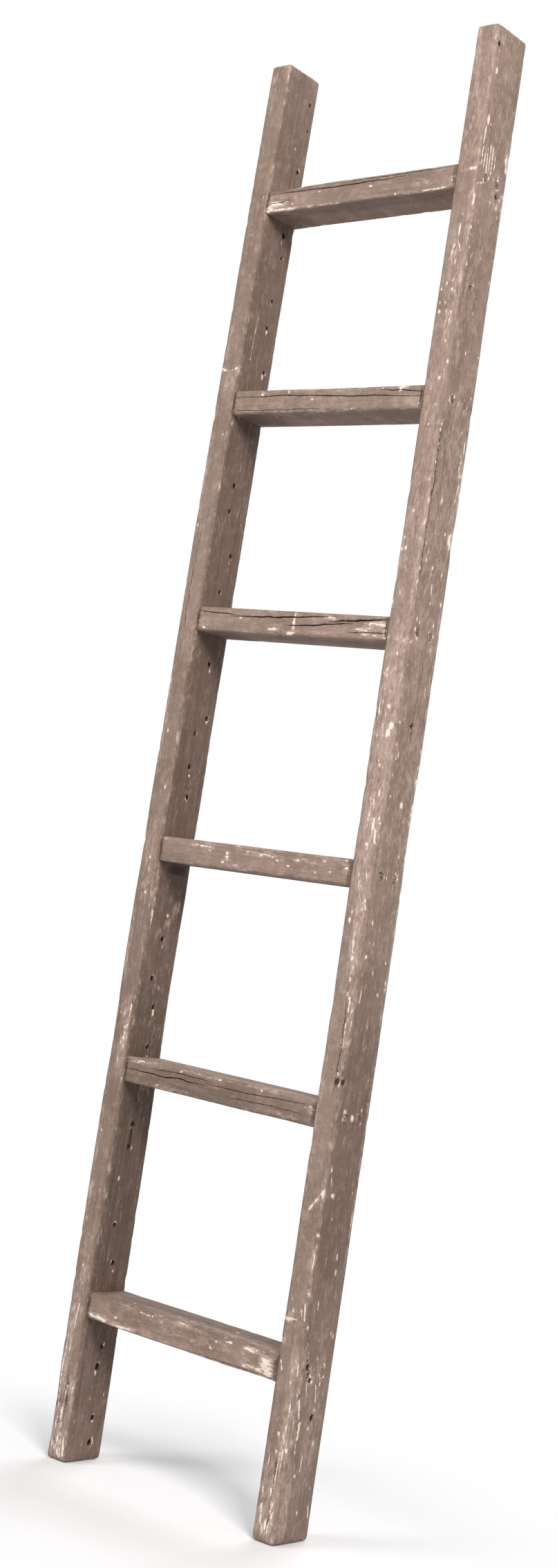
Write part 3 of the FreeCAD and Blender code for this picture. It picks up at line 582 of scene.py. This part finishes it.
class Surface:
    """The skin of a board: its mesh, the masks that the paint reads, and how far it sinks where."""

    def __init__(self, board, bm):
        self.board, self.bm = board, bm
        # one mask holds dirt together with painted shade; the split mask also paints shade into splits
        # and holes
        names = ("rubbed", "split", "dirt_and_shade", "drift")
        self.masks = {name: bm.verts.layers.float.new(name) for name in names}
        self.tree = vertex_tree(bm)
        self.sunk = {}

    def near(self, spot, reach):
        return [(self.bm.verts[index], co) for co, index, _ in self.tree.find_range(spot, reach)]

    def mark(self, mask, vert, value):
        """Raises a mask at a vertex, unless it's higher already."""
        layer = self.masks[mask]
        vert[layer] = max(vert[layer], value)

    def sink(self, vert, pull):
        """Sinks a vertex, unless it's sunk deeper already."""
        if vert.index not in self.sunk or self.sunk[vert.index].length < pull.length:
            self.sunk[vert.index] = pull

    def wear(self, vert, dips):
        """Masks a vertex for drift and wear; returns how far waves, ridges and wear move it."""
        board, point = self.board, vert.co
        along, across = board.along, board.across
        slow = Vector(point)
        slow[along] *= 0.3
        wander = grain_drift(board, point)
        vert[self.masks["drift"]] = wander
        front, side = board.half.y - abs(point.y), board.half[across] - abs(point[across])
        # broad waves, different on each face, and hard rings that stand proud of the soft wood
        wave = noise.noise(slow * 22 + (board.seed + vert.normal * 3)) * WAVE * MM
        ridge = ring_height(board, point, wander) * RIDGE * MM
        move = vert.normal * (wave * 0.6 + ridge - RIDGE * MM)
        move[along] = 0
        if front + side < EDGE_ZONE:
            # long worn stretches, short nicks, and the dips that are listed above
            signs = (math.copysign(1, point[across]), math.copysign(1, point.y))
            quadrant, run = Vector((7 * signs[0], 5 * signs[1], 0)), point[along]
            long_wear = max(noise.noise(quadrant + board.seed + Vector((0, 0, run * 9))), 0)
            nick = max(noise.noise(quadrant + board.seed + Vector((0, 0, run * 60))) - 0.22, 0)
            dip = sum(depth * math.exp(-((run - u) / half) ** 4)
                      for place, u, half, depth in dips if place == signs)
            near = math.exp(-((front + side) / ((3.2 + 1.5 * dip) * MM)) ** 2)
            inward = Vector((0, -DIAGONAL * signs[1], 0))
            inward[across] = -DIAGONAL * signs[0]
            move += inward * ((0.25 + 1.3 * long_wear + 2.2 * nick + dip) * MM * near)
            self.mark("rubbed", vert, near * min(0.14 + 0.7 * long_wear + 1.6 * nick + 0.08 * dip, 1.0))
        end = board.half[along] - abs(point[along])
        if along == ALONG_RAIL and end < EDGE_ZONE:
            move += end_wear(board, point, end, min(front, side))
            self.mark("rubbed", vert, 0.55 * math.exp(-(end / (2.5 * MM)) ** 2))
        return move

    def spread(self, mask, face, u, t, long_half, wide_half, strength):
        """Raises a mask around a point of a face, over an oval that fades at its rim."""
        board, middle, axis = self.board, self.board.at(face, u, t), self.board.faces[face][0]
        long_reach, wide_reach, deep_reach = long_half * MM, wide_half * MM, 9 * MM
        for vert, co in self.near(middle, Vector((1.6 * long_reach, 2 * wide_reach, deep_reach)).length):
            gap = co - middle
            run, wide = gap[board.along] / long_reach, gap[3 - axis - board.along] / wide_reach
            if abs(run) <= 1.6 and abs(gap[axis]) <= deep_reach:
                deep = 2 * gap[axis] / deep_reach
                self.mark(mask, vert, strength * math.exp(-(run ** 4) - wide ** 4 - deep ** 2))

    def scratch(self, spots, half, strength):
        """A scratch through the paint along a path, broken up here and there."""
        for here, there in zip(spots, spots[1:]):
            run = there - here
            broken = 1.0 + 0.5 * noise.noise(here * 90 + self.board.seed) + 0.8 * noise.noise(here * 330)
            for vert, co in self.near((here + there) / 2, run.length / 2 + 2 * half):
                away = off_line(co - here, run).length
                self.mark("rubbed", vert, strength * broken * math.exp(-(away / half) ** 4))

    def open_split(self, normal, spots, width, depth):
        """A split along a path, widest in the middle, that wanders a little off the line."""
        seed, along = self.board.seed, self.board.along
        sideways = Vector([0 if abs(normal[index]) > 0.5 or index == along else 1 for index in range(3)])
        path = []
        for spot in spots:
            stray = noise.noise(spot * 60 + seed) * 1.1 + noise.noise(spot * 230 + seed) * 0.5
            path.append(spot + sideways * stray * MM)
        for index, (here, there) in enumerate(zip(path, path[1:])):
            run = there - here
            share = (index + 0.5) / (len(path) - 1)
            openness = max(4 * share * (1 - share), 0.12) ** 0.5
            half = width / 2 * openness * (1 + 0.35 * noise.noise(here * 130 + seed))
            for vert, co in self.near((here + there) / 2, run.length / 2 + 2.6 * MM):
                gap = co - here
                aside = abs(off_line(gap, run).dot(sideways))
                if abs(gap.dot(normal)) > 2.2 * MM or aside > half * 2.2:
                    continue
                opened = 1 - ease(aside, half * 0.45, half * 1.25)
                self.sink(vert, -normal * depth * openness * opened)
                # the split mask paints the opened split dark, as painted shade
                self.mark("split", vert, opened * min(openness + 0.25, 1))
                if opened < 0.5:
                    self.mark("rubbed", vert, 0.22 * openness)

    def bore(self, normal, spot, radius, depth, lip):
        """A hole with a steep wall, oval along the board, its lip rubbed bare on one side."""
        seed, along = self.board.seed, self.board.along
        turn = 7 * noise.noise(spot * 37 + seed)
        worn_side = normal.cross(self.board.grain) * math.sin(turn)
        worn_side[along] = -math.cos(turn)
        for vert, co in self.near(spot, radius * 1.3 + 2.5 * MM):
            gap = co - spot
            if abs(gap.dot(normal)) > 2.0 * MM:
                continue
            gap -= normal * gap.dot(normal)
            low = gap.dot(worn_side) / max(gap.length, 1e-6)
            gap[along] *= 0.82
            away = gap.length * (1 + 0.12 * noise.noise(co * 900))
            opened = 1 - ease(away, radius * 0.80, radius * 1.06)
            if opened > 0:
                self.sink(vert, -normal * depth * opened)
                # the split mask paints the hole dark, as painted shade
                self.mark("split", vert, opened)
            elif away < radius * 1.6:
                bare = (lip + 0.6 * max(low, 0) ** 2) * (1 + 0.8 * noise.noise(co * 260))
                self.mark("rubbed", vert, bare)


def shape_board(board):
    """Worn corners, ridged grain, splits, old nail holes and nail recesses, all in the mesh."""
    splits = [(board.outward(face), board.walk(face, path), width * MM, depth * MM)
              for face, rows in marked(SPLITS, board) for width, depth, *path in rows]
    scratches = [(board.walk(face, path), half * MM, strength)
                 for face, rows in marked(SCRATCHES, board) for half, strength, *path in rows]
    holes = [(board.outward(face), board.at(face, u, t), PIT_SPREAD * radius * MM, depth * MM, PIT_LIP)
             for face, rows in marked(PITS, board) for u, t, radius, depth in rows]
    holes += [(board.outward("outer"), spot, *RECESS) for spot in nail_spots(board)]
    scuffs = [(face, *row) for face, rows in marked(SCUFFS, board) for row in rows]
    # neighbouring flecks differ a little in size and strength
    flecks = [(face, u, t, 2.0 + index % 3 * 0.6, 1.4 + index % 2 * 0.4, 1.02 + 0.09 * (index % 4))
              for face, rows in marked(FLECKS, board) for index, (u, t) in enumerate(rows)]
    # dirt and painted shade, with painted shade at each rung's ends against the rails
    dirt_and_shade = [(face, *row) for face, rows in marked(DIRT_AND_SHADE, board) for row in rows]
    if board.along == ALONG_RUNG:
        dirt_and_shade += [("front", *row) for row in JOINT_SHADE]
    dips = [(board.corner(corner), u * MM - board.start, half * MM, depth)
            for corner, rows in marked(DIPS, board) for u, half, depth in rows]

    bm = new_block(board)
    small = flecks + [scuff for scuff in scuffs if scuff[3] < SMALL_SCUFF]
    refine(bm, [board.at(*spot[:3]) for spot in small], FLECK_ROOM, 1)
    refine(bm, [spot for scratch in scratches for spot in scratch[0]], LINE_ROOM, 2)
    refine(bm, [spot for line in splits for spot in line[1]], LINE_ROOM, 2)
    for room, cuts in ((HOLE_ROOM, 2), (HOLE_CORE, 1)):
        refine(bm, [hole[1] for hole in holes], room, cuts)
    wide = [face for face in bm.faces if len(face.verts) > 4]
    bmesh.ops.triangulate(bm, faces=wide, quad_method="BEAUTY", ngon_method="BEAUTY")
    bm.normal_update()

    surface = Surface(board, bm)
    moves = [surface.wear(vert, dips) for vert in bm.verts]
    for mask, listed in (("rubbed", scuffs + flecks), ("dirt_and_shade", dirt_and_shade)):
        for spot in listed:
            surface.spread(mask, *spot)
    for scratch in scratches:
        surface.scratch(*scratch)
    for line in splits:
        surface.open_split(*line)
    for hole in holes:
        surface.bore(*hole)
    for vert in bm.verts:
        vert.co = board.place(vert.co + moves[vert.index] + surface.sunk.get(vert.index, Vector()))
    bm.normal_update()
    return bm


# ---------------------------------------------------------------- materials

def shade(red, green, blue):
    """A colour as a paint maker's card gives it, 0 to 255, for the shader."""
    parts = []
    for part in (red, green, blue):
        part /= 255
        parts.append(part / 12.92 if part <= 0.04045 else ((part + 0.055) / 1.055) ** 2.4)
    return (*parts, 1.0)


PAINT = shade(154, 132, 119)
PAINT_PINK = shade(172, 145, 134)
PAINT_OLIVE = shade(143, 122, 107)
PAINT_DARK = shade(110, 90, 80)
THIN_PAINT = shade(203, 178, 166)
PALE_WOOD = shade(240, 219, 197)
CREAM = shade(254, 245, 234)
# brown for dirt and for painted shade
DIRT_AND_SHADE_BROWN = shade(78, 62, 52)
SHADOW = shade(70, 55, 46)
# painted shade inside splits, old nail holes and the ring around each nail head
CRACK_SHADE = shade(34, 25, 20)
HEAD_PAINT, HEAD_RUST, HEAD_BARE = shade(140, 120, 105), shade(98, 80, 68), shade(232, 216, 196)
NUMBER, VECTOR = "NodeSocketFloat", "NodeSocketVector"
FACTOR, FIRST, SECOND, MIXED = 0, 6, 7, 2        # a mix node's sockets for colours
ORIGIN = (0, 0, 0)


def put(tree, kind, inputs=None, **settings):
    """A node with its settings; each input is a value or another node's output."""
    made = tree.nodes.new(kind)
    for name, value in settings.items():
        setattr(made, name, value)
    for name, value in (inputs or {}).items():
        if isinstance(value, bpy.types.NodeSocket):
            tree.links.new(value, made.inputs[name])
        else:
            made.inputs[name].default_value = value
    return made


def maths(tree, operation, *values):
    return put(tree, "ShaderNodeMath", dict(enumerate(values)), operation=operation).outputs[0]


def vector_maths(tree, operation, *values):
    made = put(tree, "ShaderNodeVectorMath", dict(enumerate(values)), operation=operation)
    return made.outputs["Value" if operation == "LENGTH" else "Vector"]


def weighted(tree, *parts):
    """The sum of values, each times its weight."""
    products = [maths(tree, "MULTIPLY", value, weight) for value, weight in parts]
    total = products[0]
    for product in products[1:]:
        total = maths(tree, "ADD", total, product)
    return total


def clouds(tree, place, scale, detail, rough=0.5, warp=0.0):
    inputs = {"Vector": place, "Scale": scale, "Detail": detail, "Roughness": rough, "Distortion": warp}
    return put(tree, "ShaderNodeTexNoise", inputs).outputs["Fac"]


def between(tree, value, low, high, first=0.0, last=1.0):
    """A smooth step from first to last as the value goes from low to high."""
    inputs = {"Value": value, "From Min": low, "From Max": high, "To Min": first, "To Max": last}
    return put(tree, "ShaderNodeMapRange", inputs, interpolation_type="SMOOTHSTEP").outputs["Result"]


def cover(tree, tone, *coats):
    """Lays colours over a tone, each by its own share."""
    for share, colour in coats:
        inputs = {FACTOR: share, FIRST: tone, SECOND: colour}
        tone = put(tree, "ShaderNodeMix", inputs, data_type="RGBA").outputs[MIXED]
    return tone


def attribute(tree, name):
    return put(tree, "ShaderNodeAttribute", attribute_name=name,
               attribute_type="GEOMETRY").outputs["Fac"]


def object_place(tree):
    return put(tree, "ShaderNodeTexCoord").outputs["Object"]


def blank(thing):
    """The emptied node tree of a new material or world."""
    thing.use_nodes = True
    thing.node_tree.nodes.clear()
    return thing.node_tree


def coat(tree, tone, rough, relief, strength, depth, shine):
    """Ends a material in a painted surface with a fine relief."""
    bump = put(tree, "ShaderNodeBump", {"Height": relief, "Strength": strength, "Distance": depth})
    surface = put(tree, "ShaderNodeBsdfPrincipled", {
        "Base Color": tone, "Roughness": rough, "Normal": bump.outputs["Normal"],
        "Specular IOR Level": shine})
    put(tree, "ShaderNodeOutputMaterial", {"Surface": surface.outputs["BSDF"]})


def new_group(name, takes, gives):
    """A node group that takes values with defaults and gives out numbers."""
    group = bpy.data.node_groups.new(name, "ShaderNodeTree")
    for label, kind, value in takes:
        socket = group.interface.new_socket(label, in_out="INPUT", socket_type=kind)
        socket.default_value = value
    for label in gives:
        group.interface.new_socket(label, in_out="OUTPUT", socket_type=NUMBER)
    return group, put(group, "NodeGroupInput").outputs, put(group, "NodeGroupOutput").inputs


def make_rings_group():
    """Growth rings around a leaning pith: 1 on the hard dark part of each ring."""
    group, given, out = new_group("growth rings", [
        ("Position", VECTOR, ORIGIN), ("Pith", VECTOR, ORIGIN), ("Lean", VECTOR, (0, 0, 1)),
        ("Spacing", NUMBER, RING_SPACING), ("Drift", NUMBER, 0.0)], ["Late wood"])
    gap = vector_maths(group, "SUBTRACT", given["Position"], given["Pith"])
    side = vector_maths(group, "CROSS_PRODUCT", gap, vector_maths(group, "NORMALIZE", given["Lean"]))
    radius = maths(group, "ADD", vector_maths(group, "LENGTH", side), given["Drift"])
    share = maths(group, "FRACT", maths(group, "DIVIDE", radius, given["Spacing"]))
    rise = between(group, share, 0.35, 0.85)
    fall = between(group, share, 0.93, 1.0, 1.0, 0.0)
    group.links.new(maths(group, "MULTIPLY", rise, fall), out["Late wood"])
    return group


def make_streaks_group():
    """Streaks along the grain, coarse and fine, with even speckle, broad blotches and patches."""
    group, given, out = new_group("streaks", [
        ("Position", VECTOR, ORIGIN), ("Squeeze", VECTOR, (1, 1, 0.05))],
        ["Coarse", "Fine", "Speckle", "Blotch", "Patch"])
    place = given["Position"]
    drawn = vector_maths(group, "MULTIPLY", place, given["Squeeze"])
    for name, settings in {"Coarse": (drawn, 230, 4, 0.6), "Fine": (drawn, 800, 3, 0.7),
                           "Speckle": (place, 520, 3, 0.75), "Blotch": (place, 15, 4, 0.6),
                           "Patch": (place, 62, 4, 0.65)}.items():
        group.links.new(clouds(group, *settings), out[name])
    return group


def make_flakes_group():
    """Where paint is lost: small ragged flakes that join up as the rubbing rises to 1."""
    group, given, out = new_group("paint flakes", [
        ("Position", VECTOR, ORIGIN), ("Squeeze", VECTOR, (1, 1, 0.2)), ("Rubbed", NUMBER, 0.0)],
        ["Flake", "Thin"])
    drawn = vector_maths(group, "MULTIPLY", given["Position"], given["Squeeze"])
    ragged = clouds(group, drawn, 330, 4, 0.65, 0.4)
    broad = maths(group, "SUBTRACT", clouds(group, drawn, 150, 3, 0.6), 0.5)
    sparse = maths(group, "SUBTRACT", clouds(group, given["Position"], 24, 2), 0.5)
    chance = weighted(group, (ragged, 1.0), (broad, 0.45), (sparse, 0.22))
    gentle = maths(group, "POWER", maths(group, "MAXIMUM", given["Rubbed"], 0.0), 1.7)
    lost = weighted(group, (chance, 1.0), (gentle, 0.28))
    group.links.new(between(group, lost, 0.765, 0.788), out["Flake"])
    thinned = weighted(group, (chance, 1.0), (given["Rubbed"], 0.38))
    group.links.new(between(group, thinned, 0.54, 0.90), out["Thin"])
    return group


RINGS, STREAKS, FLAKES = make_rings_group(), make_streaks_group(), make_flakes_group()


def use(tree, group, **inputs):
    return put(tree, "ShaderNodeGroup", inputs, node_tree=group).outputs


def squeezed(board, share):
    """Draws a pattern out along the board."""
    squeeze = Vector((1, 1, 1))
    squeeze[board.along] = share
    return squeeze


def paint_board(board):
    """Old paint over this board's own grain, with rubbed places, dirt and painted shade, and painted
    shade in its splits and holes.
    """
    material = bpy.data.materials.new(f"worn_paint_{board.node}")
    tree = blank(material)
    centred = vector_maths(tree, "SUBTRACT", object_place(tree), board.middle)
    own = vector_maths(tree, "ADD", centred, board.seed)
    pith, lean = PITHS[board.node]
    rings = use(tree, RINGS, Position=centred, Pith=pith, Lean=lean, Spacing=RING_SPACING,
                Drift=attribute(tree, "drift"))["Late wood"]
    streaks = use(tree, STREAKS, Position=own, Squeeze=squeezed(board, 0.045))
    flakes = use(tree, FLAKES, Position=own, Squeeze=squeezed(board, 0.30),
                 Rubbed=attribute(tree, "rubbed"))
    tone = cover(tree, PAINT_OLIVE, (between(tree, streaks["Blotch"], 0.36, 0.62), PAINT),
                 (between(tree, streaks["Patch"], 0.46, 0.70), PAINT_PINK),
                 (between(tree, streaks["Coarse"], 0.50, 0.78, 0.0, 0.42), PAINT_DARK),
                 (maths(tree, "MULTIPLY", rings, 0.10), PAINT_DARK))
    fine = maths(tree, "MULTIPLY", between(tree, streaks["Speckle"], 0.32, 0.68, 0.86, 1.13),
                 between(tree, streaks["Fine"], 0.35, 0.65, 0.94, 1.05))
    tone = put(tree, "ShaderNodeVectorMath", {0: tone, "Scale": fine}, operation="SCALE").outputs[0]
    # dirt and painted shade darken the paint brown; the strongest turns to painted shadow, and splits
    # and holes get painted shade
    dirt_and_shade = attribute(tree, "dirt_and_shade")
    brown_share = maths(tree, "MULTIPLY", dirt_and_shade, between(tree, streaks["Coarse"], 0.35, 0.6, 0.74, 0.98))
    wood = cover(tree, CREAM, (between(tree, streaks["Fine"], 0.4, 0.6), PALE_WOOD))
    tone = cover(tree, tone, (brown_share, DIRT_AND_SHADE_BROWN),
                 (maths(tree, "MULTIPLY", flakes["Thin"], 0.75), THIN_PAINT),
                 (flakes["Flake"], wood),
                 (between(tree, dirt_and_shade, 0.72, 0.98), SHADOW),
                 (between(tree, attribute(tree, "split"), 0.15, 0.7), CRACK_SHADE))
    relief = weighted(tree, (rings, 0.20), (streaks["Coarse"], 0.55), (streaks["Fine"], 0.5),
                      (streaks["Speckle"], 0.35), (flakes["Flake"], -0.35))
    rough = maths(tree, "ADD", 0.62, maths(tree, "MULTIPLY", flakes["Thin"], 0.22))
    coat(tree, tone, rough, relief, 0.55, 0.6 * MM, 0.3)
    return material


def paint_nails():
    """Nail heads under the same paint, rubbed pale on the rim."""
    material = bpy.data.materials.new("painted_nails")
    tree = blank(material)
    place = object_place(tree)
    rust, blotch = clouds(tree, place, 420, 4), clouds(tree, place, 60, 2)
    bare = between(tree, weighted(tree, (rust, 1.0), (attribute(tree, "rim"), 0.24)), 0.64, 0.72)
    tone = cover(tree, HEAD_PAINT, (between(tree, blotch, 0.4, 0.62), HEAD_RUST), (bare, HEAD_BARE))
    coat(tree, tone, between(tree, rust, 0.4, 0.7, 0.5, 0.75), rust, 0.6, 0.3 * MM, 0.35)
    return material


# ---------------------------------------------------------------- the pieces

HEAD_RADIUS = 3.5 * MM
HEAD_DEPTH = 1.0 * MM
DOME = ((0.5, 0.14), (0.9, 0.12), (1.0, 0.02))       # steps in and up over the head, in mm
SHANK_CORNER = 2.4 * MM                              # from a shank's middle to its corner
SHANK = ((60 * MM, 1.0), (12 * MM, 0.4))             # lengths and how they narrow
SEAT_DEPTH = 1.2 * MM                                # from the solid's crown in to a head's underside
HAMMER_TILT = math.radians(4)


def add_object(name, data):
    made = bpy.data.objects.new(name, data)
    bpy.context.scene.collection.objects.link(made)
    return made


def add_mesh(bm, name, material):
    mesh = bpy.data.meshes.new(name)
    bm.to_mesh(mesh)
    bm.free()
    mesh.materials.append(material)
    return add_object(name, mesh)


def keep(bm, name, material, slot, *nodes):
    """A finished piece that rides on the ladder in place of its solid."""
    piece = add_mesh(bm, name, material)
    for polygon in piece.data.polygons:
        polygon.use_smooth = True
    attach(piece, "root")
    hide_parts(*nodes)


def make_boards():
    boards = [Board("left_rail", ALONG_RAIL, 3.1), Board("right_rail", ALONG_RAIL, 7.4)]
    boards += [Board(f"rung_{number}", ALONG_RUNG, 11.3 + (number - 1) * 2.9) for number in RUNG_NUMBERS]
    for board in boards:
        slot = "rail_wood" if board.along == ALONG_RAIL else "rung_wood"
        keep(shape_board(board), f"{board.node}_board", paint_board(board), slot, board.node)


def make_nails(material):
    """Two domed heads on square shanks for each end of a rung, tilted as a hammer left them."""
    for number in RUNG_NUMBERS:
        for side in SIDES:
            node = f"nails_rung_{number}_{side}"
            low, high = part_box(node)
            out, face, turn = (-1, low.x, 3) if side == "left" else (1, high.x, 0)
            bm = bmesh.new()
            rim = bm.verts.layers.float.new("rim")
            for sign in (-1, 1):
                y, z = sign * (high.y - low.y - HEAD_DIAMETER) / 2, (low.z + high.z) / 2
                add_nail(bm, rim, crook(Vector((face, y, z))), out, number * 7 + sign + turn)
            bmesh.ops.recalc_face_normals(bm, faces=bm.faces)
            keep(bm, f"{node}_heads", material, "nail_iron", node)


def draw_out(bm, face):
    """Gives a face walls and a new face at their end, which hasn't moved away yet."""
    parts = bmesh.ops.extrude_face_region(bm, geom=[face])["geom"]
    return next(part for part in parts if isinstance(part, bmesh.types.BMFace))


def add_nail(bm, rim, seat, out, turn):
    """One nail from its head's crown at the seat; `out` is the way the head faces along X."""
    before = set(bm.verts)
    made = bmesh.ops.create_circle(bm, cap_ends=True, radius=HEAD_RADIUS, segments=28)
    crown = draw_out(bm, made["verts"][0].link_faces[0])
    bmesh.ops.translate(bm, verts=crown.verts, vec=(0, 0, HEAD_DEPTH))
    for inset, rise in DOME:
        bmesh.ops.inset_region(bm, faces=[crown], thickness=inset * MM, use_even_offset=True)
        bmesh.ops.translate(bm, verts=crown.verts, vec=(0, 0, rise * MM))
    head = list(set(bm.verts) - before)
    for vert in head:
        vert[rim] = ease(Vector(vert.co.xy).length, 2.2 * MM, 3.4 * MM)
        dent = noise.noise(vert.co * 420 + Vector((turn, 0, 0)))
        if vert.co.z > 0.5 * MM:
            vert.co.z += dent * 0.12 * MM
        vert.co.xy *= 1 + 0.05 * noise.noise(Vector((vert.co.x * 300, vert.co.y * 300, turn)))
    tilt = Matrix.Rotation(HAMMER_TILT * math.sin(turn), 3, "X")
    bmesh.ops.rotate(bm, verts=head, cent=(0, 0, 0.6 * MM), matrix=tilt)
    shank = bmesh.ops.create_circle(bm, cap_ends=True, radius=SHANK_CORNER, segments=4)
    low_end = shank["verts"][0].link_faces[0]
    for length, share in SHANK:
        last, low_end = low_end, draw_out(bm, low_end)
        if share < 1:
            bmesh.ops.delete(bm, geom=[last], context="FACES_ONLY")
        bmesh.ops.translate(bm, verts=low_end.verts, vec=(0, 0, -length))
        bmesh.ops.scale(bm, vec=(share, share, 1), verts=low_end.verts)
    new = list(set(bm.verts) - before)
    bmesh.ops.rotate(bm, verts=new, cent=(0, 0, 0), matrix=Matrix.Rotation(out * math.pi / 2, 3, "Y"))
    bmesh.ops.translate(bm, verts=new, vec=seat - Vector((out * SEAT_DEPTH, 0, 0)))


make_boards()
make_nails(paint_nails())


# ---------------------------------------------------------------- floor, light and camera

WHITE = (1, 1, 1, 1)
FLOOR_HALF = 30
FLOOR_DROP = 0.3 * MM              # keeps the floor off the feet
PHOTO_HEIGHT = 2268                # of the photograph, in pixels
FOCAL_LENGTH = 3022.84             # in the same pixels
SENSOR = 36


def make_floor():
    """A pale floor that holds the shadow near the feet and fades to white further off."""
    bm = bmesh.new()
    bmesh.ops.create_grid(bm, x_segments=1, y_segments=1, size=FLOOR_HALF)
    bmesh.ops.translate(bm, verts=bm.verts, vec=(0, 0, -FLOOR_DROP))
    material = bpy.data.materials.new("pale_floor")
    tree = blank(material)
    away = vector_maths(tree, "LENGTH", object_place(tree))
    seen = put(tree, "ShaderNodeLightPath").outputs["Is Camera Ray"]
    far = maths(tree, "MULTIPLY", between(tree, away, 0.15, 0.6), seen)
    pale = cover(tree, (0.6, 0.6, 0.6, 1), (seen, (0.97, 0.97, 0.97, 1)))
    matt = put(tree, "ShaderNodeBsdfDiffuse", {"Color": pale}).outputs[0]
    glow = put(tree, "ShaderNodeEmission", {"Color": WHITE, "Strength": 1.0}).outputs[0]
    mixed = put(tree, "ShaderNodeMixShader", {0: far, 1: matt, 2: glow}).outputs[0]
    put(tree, "ShaderNodeOutputMaterial", {"Surface": mixed})
    floor = add_mesh(bm, "floor", material)


def make_world():
    world = bpy.data.worlds.new("studio")
    bpy.context.scene.world = world
    tree = blank(world)
    path = put(tree, "ShaderNodeLightPath").outputs
    shown = maths(tree, "MAXIMUM", path["Is Camera Ray"], path["Is Transmission Ray"])
    around = put(tree, "ShaderNodeBackground", {"Color": (0.95, 0.97, 1.0, 1), "Strength": 0.36})
    white = put(tree, "ShaderNodeBackground", {"Color": WHITE, "Strength": 1.0})
    mixed = put(tree, "ShaderNodeMixShader", {0: shown, 1: around.outputs[0], 2: white.outputs[0]})
    put(tree, "ShaderNodeOutputWorld", {"Surface": mixed.outputs[0]})


def make_lamp(name, place, aim, size, power, colour):
    """A square lamp that faces its aim."""
    lamp = bpy.data.lights.new(name, "AREA")
    lamp.size, lamp.energy, lamp.color = size, power, colour
    holder = add_object(name, lamp)
    holder.location = place
    holder.rotation_euler = (Vector(aim) - Vector(place)).to_track_quat("-Z", "Y").to_euler()


def make_camera():
    """The photograph's own viewpoint: to the right of the ladder, at two thirds of a metre up."""
    right = Vector((0.76157, 0.62952, 0.15398))
    down = Vector((0.03297, 0.19965, -0.97931))
    ahead = Vector((-0.64724, 0.75089, 0.13130))
    lens = bpy.data.cameras.new("camera")
    lens.sensor_width = SENSOR
    lens.lens = SENSOR * FOCAL_LENGTH / PHOTO_HEIGHT
    lens.shift_x, lens.shift_y = 0.00264, -0.07707
    lens.clip_start, lens.clip_end = 0.05, 100
    camera = add_object("camera", lens)
    turn = Matrix((right, -down, -ahead)).transposed().to_4x4()
    camera.matrix_world = Matrix.Translation((1.67543, -1.99476, 0.66622)) @ turn
    bpy.context.scene.camera = camera


make_floor()
make_world()
make_lamp("key", (-1.7, -3.7, 2.2), (0, 0, 0.9), 1.6, 70, (1.0, 0.98, 0.95))
make_lamp("side", (2.7, -1.8, 2.9), (0, 0, 1.2), 1.2, 104, (1.0, 0.97, 0.94))
make_lamp("back", (-0.8, 2.8, 3.2), (0, 0, 1.2), 2.0, 62, (0.93, 0.92, 0.96))
make_camera()

scene = bpy.context.scene
scene.view_settings.view_transform = "Standard"
bpy.context.view_layer.update()
